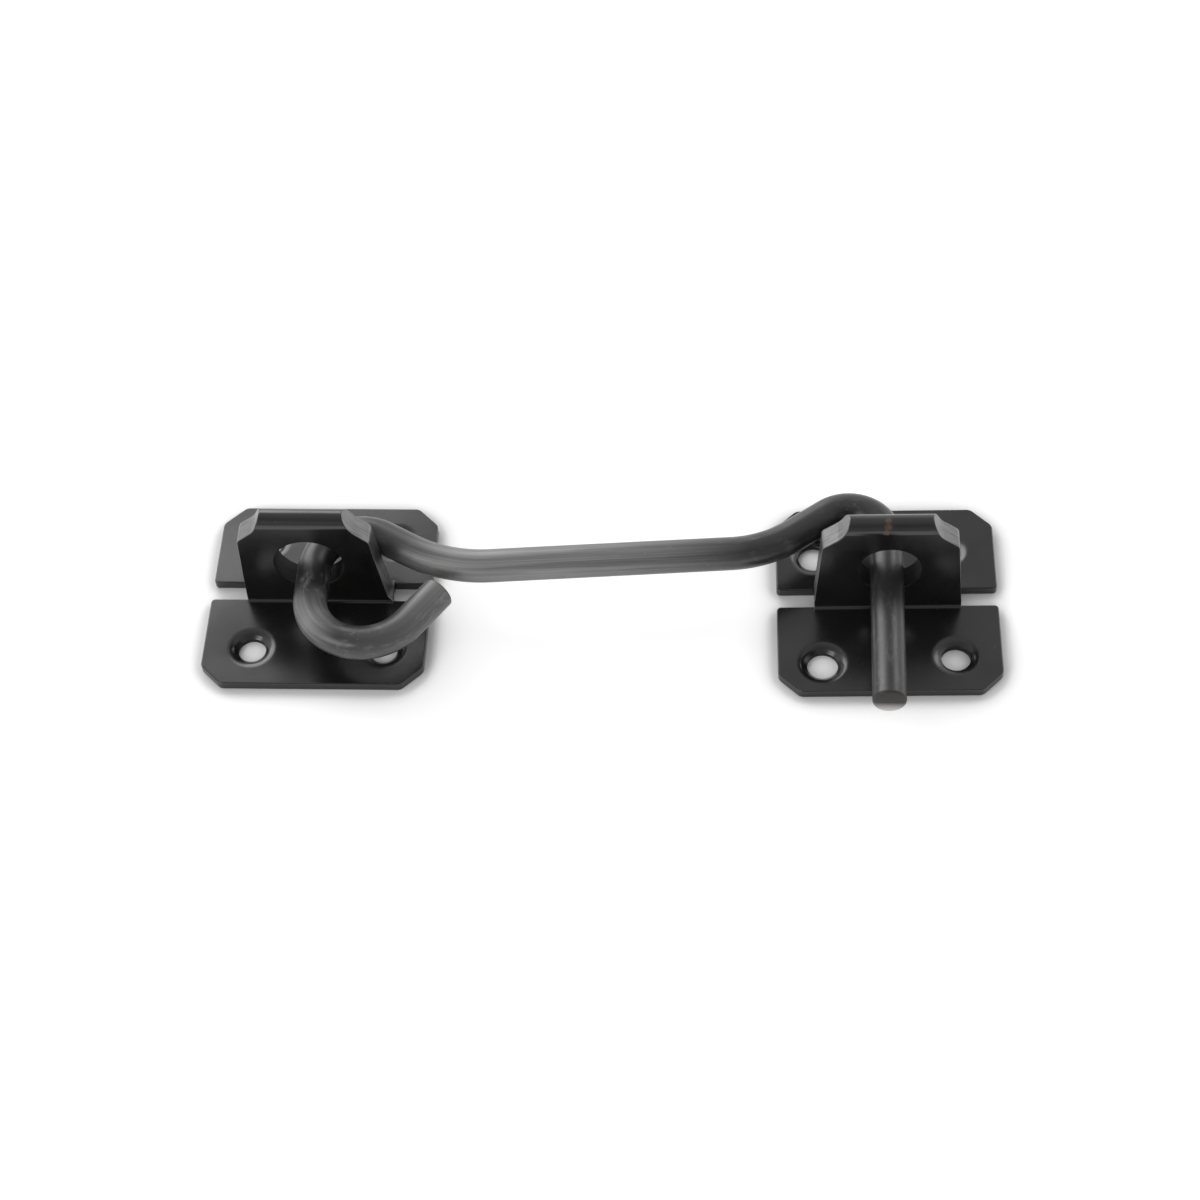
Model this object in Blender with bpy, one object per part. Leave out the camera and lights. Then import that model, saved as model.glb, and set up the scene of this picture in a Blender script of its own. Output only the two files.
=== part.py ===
"""Cabin hook: a bent steel rod that links a pivot plate to a keeper plate.

Both plates are one pressing each: a flat blank, punched, folded up into a double walled bridge,
then trimmed at its shoulders and pierced with an eye. The hook is one round rod, curled through
the pivot plate's eye, arched behind the keeper's bridge and dropped through the keeper's eye.

World frame: the mounting face is z = 0, x runs from the pivot plate to the keeper plate, y runs
from the front feet to the rear feet. The origin lies on the mounting face, on the pivot plate's
centre line, level with its two front screw holes. Metres.
"""
import math
from collections import namedtuple

import bmesh
import bpy
from mathutils import Matrix, Vector

# Sheet and plate outline, both reaches measured from the middle of the fold
SHEET = 0.0018
PLATE_WIDTH = 0.0400
FRONT_REACH = 0.0206
REAR_REACH = 0.0195
SLOT_GAP = 0.0038
CORNER_CLIP = 0.00385
SLOT_CORNER_RADIUS = 0.0007

# Bridge, folded up between the two feet
BRIDGE_HEIGHT = 0.0246
LAYER_GAP = 0.0006
FOOT_BEND_RADIUS = 0.0006
NECK_WIDTH = 0.0264
SHOULDER_WIDTH = 0.0242
SHOULDER_DROP = 0.0057
WAIST_WIDTH = 0.0176
WAIST_DROP = 0.0030
CREST_WIDTH = 0.0147
RELIEF_WIDTH = 0.0006
RELIEF_DEPTH = 0.0003

# Screw holes and the soft dimples pressed round them
PIVOT_SCREW_HOLE = 0.0049
KEEPER_SCREW_HOLE = 0.0054
DIMPLE_RIM = 0.0024
DIMPLE_DEPTH = 0.0009
DIMPLE_FADE = 2.0
HOLE_SPREAD = 0.0238
HOLE_PITCH = 0.0242

# Eyes, centred at one height in both bridges
ROD_DIAMETER = 0.0060
EYE_HEIGHT = 0.0127
PIVOT_EYE_PLAY = 0.0064
KEEPER_EYE_PLAY = 0.0053

# Small faults of the two real pressings: a leaning bridge, an eye off centre, one flank cut deeper,
# a longer foot, and a hole pattern punched off centre and askew
PIVOT_LEAN = math.radians(2.2)
PIVOT_EYE_SHIFT = -0.0002
PIVOT_FLANK_TRIM = 0.0007
PIVOT_PUNCH_X = 0.0006
PIVOT_PUNCH_Y = -0.0006
KEEPER_REAR_GROWTH = 0.0008
KEEPER_PUNCH_X = -0.0007
KEEPER_PUNCH_Y = -0.0017
KEEPER_PUNCH_TURN = math.radians(2.6)

# How the keeper plate lies to the pivot plate
PLATE_SPACING = 0.1029
KEEPER_SETBACK = 0.0003
KEEPER_YAW = math.radians(1.35)

# Rod: clearances, then each bend and run from the curl's tip to the leg's end
REST_GAP = 0.0003
SEAT_GAP = 0.0005
EYE_OFFSET = 0.0006
CURL_TIP_RUN = 0.0088
CURL_RADIUS = 0.0098
CURL_STANDOFF = 0.0059
CURL_SWEEP = math.radians(145.0)
EYE_BEND_RADIUS = 0.0080
FALL_ANGLE = math.radians(30.5)
FALL_RUN = 0.0054
JOGGLE_RADIUS = 0.0254
RISE_BEND_RADIUS = 0.0204
RISE_ANGLE = math.radians(37.5)
RISE_RUN = 0.0079
ARCH_RADIUS = 0.0066
ARCH_STANDOFF = 0.0046
LEG_OFFSET = 0.0004
LEG_OVERHANG = 0.0086
END_CHAMFER = 0.0005

# Facets
FOLD_STEPS = 12
FOOT_STEPS = 5
CORNER_STEPS = 4
DIMPLE_STEPS = 4
EYE_SIDES = 48
SCREW_SIDES = 32
ROD_BEVEL_RESOLUTION = 10
BEND_STEP = math.radians(6.0)
OVERRUN = 0.0010
WELD = 0.0000002

# Sizes that follow from the ones above
half_bridge = LAYER_GAP / 2 + SHEET
crown_height = BRIDGE_HEIGHT - half_bridge
foot_bend_outer = FOOT_BEND_RADIUS + SHEET
foot_line = half_bridge + FOOT_BEND_RADIUS
crown_arc = math.pi / 2 * (LAYER_GAP + SHEET) / 2
wall_run = crown_height - foot_bend_outer
foot_arc = math.pi / 2 * (FOOT_BEND_RADIUS + SHEET / 2)
flat_start = crown_arc + wall_run + foot_arc
rod_radius = ROD_DIAMETER / 2
fold_y = HOLE_PITCH / 2 - PIVOT_PUNCH_Y
pivot_eye = ROD_DIAMETER + PIVOT_EYE_PLAY
keeper_eye = ROD_DIAMETER + KEEPER_EYE_PLAY
rod_level = EYE_HEIGHT - keeper_eye / 2 + SEAT_GAP + rod_radius

Pressing = namedtuple("Pressing", "eye eye_shift lean flank_trim rear_reach screw_hole "
                                  "punch_x punch_y punch_turn")
PIVOT = Pressing(pivot_eye, PIVOT_EYE_SHIFT, PIVOT_LEAN, PIVOT_FLANK_TRIM, REAR_REACH,
                 PIVOT_SCREW_HOLE, PIVOT_PUNCH_X, PIVOT_PUNCH_Y, 0.0)
KEEPER = Pressing(keeper_eye, 0.0, 0.0, 0.0, REAR_REACH + KEEPER_REAR_GROWTH,
                  KEEPER_SCREW_HOLE, KEEPER_PUNCH_X, KEEPER_PUNCH_Y, KEEPER_PUNCH_TURN)


def clear_scene():
    for item in list(bpy.data.objects):
        bpy.data.objects.remove(item, do_unlink=True)


def metal(name, colour, roughness, metallic):
    """A Principled material in the finish seen on the real piece."""
    material = bpy.data.materials.new(name)
    material.use_nodes = True
    shader = material.node_tree.nodes["Principled BSDF"]
    shader.inputs["Base Color"].default_value = (*colour, 1.0)
    shader.inputs["Roughness"].default_value = roughness
    shader.inputs["Metallic"].default_value = metallic
    material.diffuse_color = (*colour, 1.0)
    return material


def add_object(name, mesh, material=None):
    item = bpy.data.objects.new(name, mesh)
    bpy.context.scene.collection.objects.link(item)
    if material:
        mesh.materials.append(material)
    return item


def add_empty(name, location, parent=None, turn=0.0):
    """An empty on a joint's axis, placed in world space."""
    item = bpy.data.objects.new(name, None)
    bpy.context.scene.collection.objects.link(item)
    item.parent = parent
    bpy.context.view_layer.update()
    item.matrix_world = Matrix.Translation(location) @ Matrix.Rotation(turn, 4, "Z")
    bpy.context.view_layer.update()
    return item


def prism(name, outline, depth, axes):
    """Extrude a closed outline of point pairs. axes(a, b, c) turns a point and a depth to 3-D."""
    bm = bmesh.new()
    face = bm.faces.new([bm.verts.new(axes(a, b, 0.0)) for a, b in outline])
    shift = Vector(axes(0.0, 0.0, depth)) - Vector(axes(0.0, 0.0, 0.0))
    made = bmesh.ops.extrude_face_region(bm, geom=[face])["geom"]
    bmesh.ops.translate(bm, vec=shift, verts=[v for v in made if isinstance(v, bmesh.types.BMVert)])
    bmesh.ops.recalc_face_normals(bm, faces=bm.faces)
    mesh = bpy.data.meshes.new(name)
    bm.to_mesh(mesh)
    bm.free()
    return mesh


def turned(name, profile, sides, place):
    """Turn a closed profile of (radius, height) points, first and last on the axis, about Z."""
    bm = bmesh.new()
    chain = [bm.verts.new((radius, 0.0, height)) for radius, height in profile]
    edges = [bm.edges.new(pair) for pair in zip(chain, chain[1:])]
    bmesh.ops.spin(bm, geom=chain + edges, axis=(0, 0, 1), cent=(0, 0, 0), steps=sides,
                   angle=2 * math.pi, use_merge=True)
    bmesh.ops.remove_doubles(bm, verts=bm.verts, dist=WELD)
    bmesh.ops.recalc_face_normals(bm, faces=bm.faces)
    bmesh.ops.transform(bm, matrix=place, verts=bm.verts)
    mesh = bpy.data.meshes.new(name)
    bm.to_mesh(mesh)
    bm.free()
    return mesh


def cut(item, cutter_meshes):
    """Take the cutters out of an object's mesh with exact Booleans and keep the result."""
    for mesh in cutter_meshes:
        cutter = add_object("cutter", mesh)
        boolean = item.modifiers.new("cut", "BOOLEAN")
        boolean.operation = "DIFFERENCE"
        boolean.solver = "EXACT"
        boolean.object = cutter
        result = bpy.data.meshes.new_from_object(
            item.evaluated_get(bpy.context.evaluated_depsgraph_get()))
        item.modifiers.clear()
        item.data = result
        bpy.data.objects.remove(cutter, do_unlink=True)


def developed(y):
    """Distance along the flat blank, from the crest, of a point on a foot at y from the fold."""
    return math.copysign(flat_start + abs(y) - foot_line, y)


def blank_side(rear_reach):
    """Right edge of the flat blank from front to rear: clipped corner, foot, slot, neck and back."""
    half = PLATE_WIDTH / 2
    neck = NECK_WIDTH / 2
    relief = neck + RELIEF_WIDTH
    slot_edge = developed(SLOT_GAP / 2)
    points = []
    for end, inward in ((developed(-FRONT_REACH), 1), (developed(rear_reach), -1)):
        foot = [(half - CORNER_CLIP, end), (half, end + inward * CORNER_CLIP)]
        for step in range(CORNER_STEPS + 1):
            angle = math.pi / 2 * step / CORNER_STEPS
            foot.append((half - SLOT_CORNER_RADIUS * (1 - math.cos(angle)),
                         -inward * (slot_edge + SLOT_CORNER_RADIUS * (1 - math.sin(angle)))))
        foot += [(relief, -inward * slot_edge), (relief, -inward * (flat_start + RELIEF_DEPTH)),
                 (neck, -inward * (flat_start + RELIEF_DEPTH))]
        points += foot[::inward]
    return points


def screw_cutter(x, y, diameter):
    """Clearance hole with a soft dish pressed round it, steep at the hole and fading outwards."""
    hole = diameter / 2
    dish = []
    for step in range(DIMPLE_STEPS + 1):
        share = step / DIMPLE_STEPS
        dish.append((hole + DIMPLE_RIM * share, SHEET - DIMPLE_DEPTH * (1 - share) ** DIMPLE_FADE))
    rim = dish[-1][0]
    profile = [(0.0, -OVERRUN), (hole, -OVERRUN), *dish, (rim, SHEET + OVERRUN), (0.0, SHEET + OVERRUN)]
    return turned("screw_cutter", profile, SCREW_SIDES, Matrix.Translation((x, developed(y), 0.0)))


def bend_lines():
    """Developed distances from the crest at which the blank is scored, so that it can fold."""
    crown = [crown_arc * step / (FOLD_STEPS / 2) for step in range(FOLD_STEPS // 2 + 1)]
    foot = [flat_start - foot_arc * step / FOOT_STEPS for step in range(FOOT_STEPS + 1)]
    return crown + foot


def folded(x, u, w):
    """Place of a blank point after folding. u is the developed distance, w the height in the sheet."""
    side = math.copysign(1.0, u)
    run = abs(u)
    flat_tab = abs(x) > (NECK_WIDTH + RELIEF_WIDTH) / 2
    if run >= flat_start or flat_tab:
        return Vector((x, side * (foot_line + run - flat_start), w))
    if run <= crown_arc:
        angle = math.pi / 2 * run / crown_arc
        radius = LAYER_GAP / 2 + w
        return Vector((x, side * radius * math.sin(angle), crown_height + radius * math.cos(angle)))
    if run <= crown_arc + wall_run:
        return Vector((x, side * (LAYER_GAP / 2 + w), crown_height - (run - crown_arc)))
    angle = math.pi / 2 * (run - crown_arc - wall_run) / foot_arc
    radius = foot_bend_outer - w
    return Vector((x, side * (foot_line - radius * math.cos(angle)),
                   foot_bend_outer - radius * math.sin(angle)))


def fold(mesh):
    """Score the flat blank along every bend line, then fold it up."""
    bm = bmesh.new()
    bm.from_mesh(mesh)
    lines = bend_lines()
    for place in lines + [-line for line in lines if line > 0]:
        bmesh.ops.bisect_plane(bm, geom=bm.verts[:] + bm.edges[:] + bm.faces[:], dist=WELD,
                               plane_co=(0.0, place, 0.0), plane_no=(0, 1, 0))
    for vert in bm.verts:
        vert.co = folded(*vert.co)
    bm.to_mesh(mesh)
    bm.free()


def shoulder_cutter(side, trim):
    """Trims one side of the bridge: a tapered flank, then a shoulder hollowed across both layers."""
    slope = (WAIST_WIDTH - CREST_WIDTH) / 2 / WAIST_DROP
    crest = CREST_WIDTH / 2 - slope * OVERRUN
    outside = NECK_WIDTH / 2 + OVERRUN
    outline = [(side * (NECK_WIDTH / 2 - trim), foot_bend_outer),
               (side * (SHOULDER_WIDTH / 2 - trim), BRIDGE_HEIGHT - SHOULDER_DROP),
               (side * WAIST_WIDTH / 2, BRIDGE_HEIGHT - WAIST_DROP),
               (side * crest, BRIDGE_HEIGHT + OVERRUN), (side * outside, BRIDGE_HEIGHT + OVERRUN),
               (side * outside, foot_bend_outer)]
    reach = half_bridge + OVERRUN
    return prism("shoulder_cutter", outline, 2 * reach, lambda a, b, c: (a, c - reach, b))


def lean_shift(height, lean):
    """How far the leaning bridge has moved towards -X at a height above the sheet."""
    return -math.tan(lean) * max(height - SHEET, 0.0)


def plate(name, pressing, material):
    """One plate, built about the middle of its fold on the mounting face."""
    right = blank_side(pressing.rear_reach)
    outline = right + [(-x, u) for x, u in reversed(right)]
    item = add_object(name, prism(name, outline, SHEET, lambda a, b, c: (a, b, c)), material)

    punch = (Matrix.Translation((pressing.punch_x, pressing.punch_y, 0.0))
             @ Matrix.Rotation(pressing.punch_turn, 4, "Z"))
    holes = [punch @ Vector((x_side * HOLE_SPREAD / 2, y_side * HOLE_PITCH / 2, 0.0))
             for x_side in (-1, 1) for y_side in (-1, 1)]
    cut(item, [screw_cutter(hole.x, hole.y, pressing.screw_hole) for hole in holes])
    fold(item.data)
    cut(item, [shoulder_cutter(-1, 0.0), shoulder_cutter(1, pressing.flank_trim)])
    for vert in item.data.vertices:
        vert.co.x += lean_shift(vert.co.z, pressing.lean)

    reach = half_bridge + OVERRUN
    bore = [(0.0, -reach), (pressing.eye / 2, -reach), (pressing.eye / 2, reach), (0.0, reach)]
    place = Matrix.Translation((eye_x(pressing), 0.0, EYE_HEIGHT))
    cut(item, [turned("eye_cutter", bore, EYE_SIDES, place @ Matrix.Rotation(math.pi / 2, 4, "X"))])
    item.data.shade_smooth()
    item.data.set_sharp_from_angle(angle=math.radians(30.0))
    return item


def eye_x(pressing):
    return lean_shift(EYE_HEIGHT, pressing.lean) + pressing.eye_shift


def rod_layout():
    """Bend centres of the rod in world space, worked out from the plates that it passes."""
    pass_x = eye_x(PIVOT) + EYE_OFFSET

    # The rod rests against the bridge's rear right edge, and its bend is tangent to that run.
    taper = (rod_level - foot_bend_outer) / (BRIDGE_HEIGHT - SHOULDER_DROP - foot_bend_outer)
    flank = NECK_WIDTH / 2 - taper * (NECK_WIDTH - SHOULDER_WIDTH) / 2 - PIVOT_FLANK_TRIM
    edge = Vector((flank + lean_shift(rod_level, PIVOT_LEAN), fold_y + half_bridge))
    away = Vector((math.sin(FALL_ANGLE), math.cos(FALL_ANGLE)))
    line_point = edge + away * (rod_radius + REST_GAP)
    eye_bend_x = pass_x + EYE_BEND_RADIUS
    eye_bend_y = line_point.y - (EYE_BEND_RADIUS - (line_point.x - eye_bend_x) * away.x) / away.y
    eye_bend = Vector((eye_bend_x, eye_bend_y))

    curl = Vector((pass_x + CURL_RADIUS, fold_y - half_bridge - CURL_STANDOFF))

    fall = Vector((math.cos(FALL_ANGLE), -math.sin(FALL_ANGLE)))
    joggle = eye_bend + away * (EYE_BEND_RADIUS + JOGGLE_RADIUS) + fall * FALL_RUN

    keeper = keeper_place()
    arch = Vector((keeper.x - LEG_OFFSET - ARCH_RADIUS, keeper.y + half_bridge + ARCH_STANDOFF))
    rise = Vector((math.cos(RISE_ANGLE), math.sin(RISE_ANGLE)))
    left_of_rise = Vector((-rise.y, rise.x))
    rise_bend = arch + left_of_rise * (ARCH_RADIUS + RISE_BEND_RADIUS) - rise * RISE_RUN

    # The straight shaft touches the two wide bends on the same side.
    between = rise_bend - joggle
    shaft_angle = (math.atan2(between.y, between.x)
                   + math.asin((JOGGLE_RADIUS - RISE_BEND_RADIUS) / between.length))
    return curl, eye_bend, joggle, shaft_angle, rise_bend, arch


def keeper_place():
    return Vector((PLATE_SPACING, fold_y - KEEPER_SETBACK, 0.0))


def arc(centre, radius, start, end):
    """Points of a circular bend from one polar angle to another, both ends included."""
    steps = max(2, math.ceil(abs(end - start) / BEND_STEP))
    angles = [start + (end - start) * step / steps for step in range(steps + 1)]
    return [centre + radius * Vector((math.cos(angle), math.sin(angle))) for angle in angles]


def rod_path():
    """Centre line of the rod from the curl's tip to the end of the leg, in world x and y."""
    curl, eye_bend, joggle, shaft_angle, rise_bend, arch = rod_layout()
    quarter = math.pi / 2
    tip_heading = quarter + CURL_SWEEP
    points = arc(curl, CURL_RADIUS, tip_heading + quarter, 2 * quarter)
    tip = points[0] - CURL_TIP_RUN * Vector((math.cos(tip_heading), math.sin(tip_heading)))
    points.insert(0, tip)
    points += arc(eye_bend, EYE_BEND_RADIUS, 2 * quarter, quarter - FALL_ANGLE)
    points += arc(joggle, JOGGLE_RADIUS, -quarter - FALL_ANGLE, -quarter + shaft_angle)
    points += arc(rise_bend, RISE_BEND_RADIUS, -quarter + shaft_angle, -quarter + RISE_ANGLE)
    points += arc(arch, ARCH_RADIUS, quarter + RISE_ANGLE, 0.0)
    leg_end = keeper_place().y - FRONT_REACH - LEG_OVERHANG
    points.append(Vector((points[-1].x, leg_end)))
    return points


def rod(name, centre, material):
    """The round rod as a bevelled curve about a given centre, its cut ends slightly chamfered."""
    points = rod_path()
    start_step = (points[1] - points[0]).normalized() * END_CHAMFER
    end_step = (points[-2] - points[-1]).normalized() * END_CHAMFER
    points = [points[0], points[0] + start_step] + points[1:-1] + [points[-1] + end_step, points[-1]]

    curve = bpy.data.curves.new(name, "CURVE")
    curve.dimensions = "3D"
    curve.twist_mode = "Z_UP"
    curve.bevel_depth = rod_radius
    curve.bevel_resolution = ROD_BEVEL_RESOLUTION
    curve.use_fill_caps = True
    spline = curve.splines.new("POLY")
    spline.points.add(len(points) - 1)
    for place, point in zip(spline.points, points):
        place.co = (point.x - centre.x, point.y - centre.y, 0.0, 1.0)
        place.radius = 1.0
    for place in (spline.points[0], spline.points[-1]):
        place.radius = (rod_radius - END_CHAMFER) / rod_radius

    item = add_object(name, curve)
    curve.materials.append(material)
    spline.use_smooth = True
    return item


def build():
    clear_scene()
    black = metal("black_coated_sheet", (0.018, 0.018, 0.020), 0.36, 0.35)
    gunmetal = metal("black_drawn_rod", (0.060, 0.057, 0.055), 0.42, 0.80)

    pivot = plate("pivot_plate", PIVOT, black)
    pivot.location = (0.0, fold_y, 0.0)

    _, eye_bend, _, _, _, arch = rod_layout()
    swing = add_empty("hook_lift_axis", (eye_bend.x, eye_bend.y, rod_level), pivot)
    hook = rod("hook", eye_bend, gunmetal)
    hook.parent = swing

    leg = (arch.x + ARCH_RADIUS, keeper_place().y, rod_level)
    slide = add_empty("keeper_slide_axis", leg, hook)
    keeper = plate("keeper_plate", KEEPER, black)
    keeper.parent = slide
    bpy.context.view_layer.update()
    keeper.matrix_world = Matrix.Translation(keeper_place()) @ Matrix.Rotation(KEEPER_YAW, 4, "Z")


build()
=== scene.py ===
import math

import bmesh
import bpy
from mathutils import Matrix, Vector


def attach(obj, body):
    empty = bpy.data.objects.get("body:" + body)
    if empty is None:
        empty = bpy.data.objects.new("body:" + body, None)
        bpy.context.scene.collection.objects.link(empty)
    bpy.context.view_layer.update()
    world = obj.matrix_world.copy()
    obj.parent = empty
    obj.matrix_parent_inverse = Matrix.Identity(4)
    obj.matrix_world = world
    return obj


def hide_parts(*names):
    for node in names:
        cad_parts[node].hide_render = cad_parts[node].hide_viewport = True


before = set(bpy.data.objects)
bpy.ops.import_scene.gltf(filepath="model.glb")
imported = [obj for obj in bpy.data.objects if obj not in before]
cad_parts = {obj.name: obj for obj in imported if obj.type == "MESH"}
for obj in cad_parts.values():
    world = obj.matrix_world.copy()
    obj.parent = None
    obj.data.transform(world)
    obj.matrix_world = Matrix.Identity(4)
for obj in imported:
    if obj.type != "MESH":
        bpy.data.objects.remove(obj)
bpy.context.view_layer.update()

# PIVOT PLATE
# One pressing of 1.8 mm steel sheet, black coated after all the press work. The flat blank is sheared,
# punched and dished for four screws, folded up into a double walled bridge, trimmed at the shoulders
# and bored with the eye. The coating is thin and satin, and thinner still on the sheared edges.

SHEET = 0.0018
PLATE_WIDTH = 0.0400
FRONT_REACH = 0.0206
REAR_REACH = 0.0195
SLOT_GAP = 0.0038
CORNER_CLIP = 0.00385
SLOT_CORNER_RADIUS = 0.0007
BLANK_CORNER_RADIUS = 0.0006
RIM_RADIUS = 0.00022
BRIDGE_RIM_RADIUS = 0.00016
NECK_WIDTH = 0.0264
RELIEF_WIDTH = 0.00008
RELIEF_DEPTH = 0.0002
BRIDGE_HEIGHT = 0.0246
LAYER_GAP = 0.0006
PINCHED_GAP = 0.00004
FOOT_BEND_RADIUS = 0.0006
SHOULDER_WIDTH = 0.0242
SHOULDER_DROP = 0.0057
WAIST_WIDTH = 0.0176
WAIST_DROP = 0.0030
CREST_WIDTH = 0.0147
WAIST_RADIUS = 0.0008
SHOULDER_RADIUS = 0.0005
TRIM_RISE = 0.0008
HOLE_SPREAD = 0.0238
HOLE_PITCH = 0.0242
DISH_RIM = 0.0022
DISH_FADE = 2.5
DISH_STEPS = 14
HOLE_BREAK = 0.00016
UNDER_BREAK = 0.0002
HOLE_SIDES = 64
EYE_HEIGHT = 0.0127
PIVOT_EYE = 0.0124
PIVOT_LEAN = math.radians(2.2)
EYE_SIDES = 96
FOLD_Y = 0.0127
CREST_STEPS = 14
FOOT_STEPS = 8
CUTTER_CLEAR = 0.001
CUTTER_REACH = 0.004
NEAR = 0.0001  # how far off an edge may lie and still be the one looked for
WELD = 0.0000005  # points closer than this become one

half_bridge = LAYER_GAP / 2 + SHEET
crown_height = BRIDGE_HEIGHT - half_bridge
foot_bend_outer = FOOT_BEND_RADIUS + SHEET
foot_line = half_bridge + FOOT_BEND_RADIUS
crown_arc = math.pi / 2 * (LAYER_GAP + SHEET) / 2
wall_run = crown_height - foot_bend_outer
foot_arc = math.pi / 2 * (FOOT_BEND_RADIUS + SHEET / 2)
flat_start = crown_arc + wall_run + foot_arc


def shade(group, kind, place=(0, 0), **settings):
    """One node of a material or group, with its plain settings."""
    node = group.nodes.new(kind)
    node.location = place
    for name, value in settings.items():
        setattr(node, name, value)
    return node


def feed(tree, socket, value):
    """Gives a socket a plain value or another node's output."""
    if isinstance(value, bpy.types.NodeSocket):
        tree.links.new(value, socket)
    else:
        socket.default_value = value


def ramp(tree, source, low, high, from_min=0.3, from_max=0.7, place=(-500, 0), easing="LINEAR"):
    """A value spread between low and high as its source runs from from_min to from_max."""
    node = shade(tree, "ShaderNodeMapRange", place, interpolation_type=easing)
    node.inputs["From Min"].default_value = from_min
    node.inputs["From Max"].default_value = from_max
    node.inputs["To Min"].default_value = low
    node.inputs["To Max"].default_value = high
    feed(tree, node.inputs["Value"], source)
    return node.outputs[0]


def worked(tree, operation, values, place=(-400, 0)):
    """The result of one Math node on plain values and other nodes' outputs."""
    node = shade(tree, "ShaderNodeMath", place, operation=operation)
    for socket, value in zip(node.inputs, values):
        feed(tree, socket, value)
    return node.outputs[0]


def noise(tree, where, scale, detail, place=(-700, 0), roughness=0.5):
    """Cloudy noise over a place that another node gives."""
    node = shade(tree, "ShaderNodeTexNoise", place)
    feed(tree, node.inputs["Vector"], where)
    feed(tree, node.inputs["Scale"], scale)
    node.inputs["Detail"].default_value = detail
    node.inputs["Roughness"].default_value = roughness
    return node.outputs["Fac"]


def stretched(tree, where, scale, place=(-1250, 0)):
    """A place drawn out along some axes, so that a pattern on it turns into streaks."""
    node = shade(tree, "ShaderNodeMapping", place)
    node.inputs["Scale"].default_value = scale
    feed(tree, node.inputs["Vector"], where)
    return node.outputs[0]


def blend_colours(tree, share, first, second, place=(-350, 200)):
    """A colour between two, each a plain colour or another node's output."""
    node = shade(tree, "ShaderNodeMix", place, data_type="RGBA")
    feed(tree, node.inputs["Factor"], share)
    for name, colour in (("A", first), ("B", second)):
        into = [s for s in node.inputs if s.name == name and s.type == "RGBA"][0]
        feed(tree, into, (*colour, 1.0) if isinstance(colour, tuple) else colour)
    return [s for s in node.outputs if s.type == "RGBA"][0]


def coating_grain_group():
    """Fine satin grain of a dipped coating: an even ripple with sparse pinhead specks."""
    group = bpy.data.node_groups.new("coating_grain", "ShaderNodeTree")
    group.interface.new_socket("Place", in_out="INPUT", socket_type="NodeSocketVector")
    for name in ("Grain Size", "Specks"):
        group.interface.new_socket(name, in_out="INPUT", socket_type="NodeSocketFloat")
    for name in ("Height", "Cloud", "Speck"):
        group.interface.new_socket(name, in_out="OUTPUT", socket_type="NodeSocketFloat")
    given = shade(group, "NodeGroupInput", (-900, 0)).outputs
    fine = worked(group, "DIVIDE", (1.0, given["Grain Size"]), (-700, 200))
    dots = shade(group, "ShaderNodeTexVoronoi", (-500, -300))
    dots.inputs["Scale"].default_value = 900.0
    feed(group, dots.inputs["Vector"], given["Place"])
    dot = ramp(group, dots.outputs["Distance"], 0.0, 1.0, 0.17, 0.05, (-300, -300), "SMOOTHSTEP")
    rare = noise(group, given["Place"], 420.0, 1.0, (-500, -550))
    few = ramp(group, rare, 0.0, 1.0, 0.60, 0.70, (-300, -550))
    speck = worked(group, "MULTIPLY", (dot, few), (-100, -400))
    made = shade(group, "NodeGroupOutput", (260, 0)).inputs
    feed(group, made["Height"], noise(group, given["Place"], fine, 3.0, (-500, 200)))
    feed(group, made["Cloud"], noise(group, given["Place"], 140.0, 4.0, (-500, -50), 0.55))
    feed(group, made["Speck"], worked(group, "MULTIPLY", (speck, given["Specks"]), (60, -400)))
    return group


coating_grain = coating_grain_group()


def finish_start(name):
    """A new material with its nodes, its shader and the Object coordinates that its patterns read."""
    material = bpy.data.materials.new(name)
    material.use_nodes = True
    tree = material.node_tree
    where = shade(tree, "ShaderNodeTexCoord", (-1100, 0)).outputs["Object"]
    return material, tree, tree.nodes["Principled BSDF"], where


def grained(tree, where):
    """The coating grain placed in a material, with its own grain size in metres and share of specks."""
    grain = shade(tree, "ShaderNodeGroup", (-850, 0), node_tree=coating_grain)
    feed(tree, grain.inputs["Place"], where)
    grain.inputs["Grain Size"].default_value = 0.0004
    grain.inputs["Specks"].default_value = 0.3
    return grain.outputs


def relief(tree, height, strength, distance, into, place=(-250, -300)):
    """A bump that feeds the Normal socket it is given, and returns its own for a broader bump."""
    bump = shade(tree, "ShaderNodeBump", place)
    bump.inputs["Strength"].default_value = strength
    bump.inputs["Distance"].default_value = distance
    feed(tree, bump.inputs["Height"], height)
    feed(tree, into, bump.outputs["Normal"])
    return bump.inputs["Normal"]


def rusted(tree, where, colour, roughness, spots):
    """Crusty rust that has broken through a coating at spots, each a (place, radius)."""
    crust = ramp(tree, noise(tree, where, 2600.0, 3.0, (-1100, 500)), 0.25, 1.0, 0.36, 0.54, (-900, 500))
    for spot, radius in spots:
        away = shade(tree, "ShaderNodeVectorMath", (-1100, 700), operation="DISTANCE")
        feed(tree, away.inputs[0], where)
        away.inputs[1].default_value = spot
        near = ramp(tree, away.outputs["Value"], 1.0, 0.0, 0.3 * radius, radius, (-900, 700))
        eaten = worked(tree, "MULTIPLY", (near, crust), (-700, 700))
        colour = blend_colours(tree, eaten, colour, (0.085, 0.034, 0.020), (-100, 450))
        roughness = worked(tree, "MULTIPLY_ADD", (eaten, 0.35, roughness), (-300, -500))
    return colour, roughness


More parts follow.
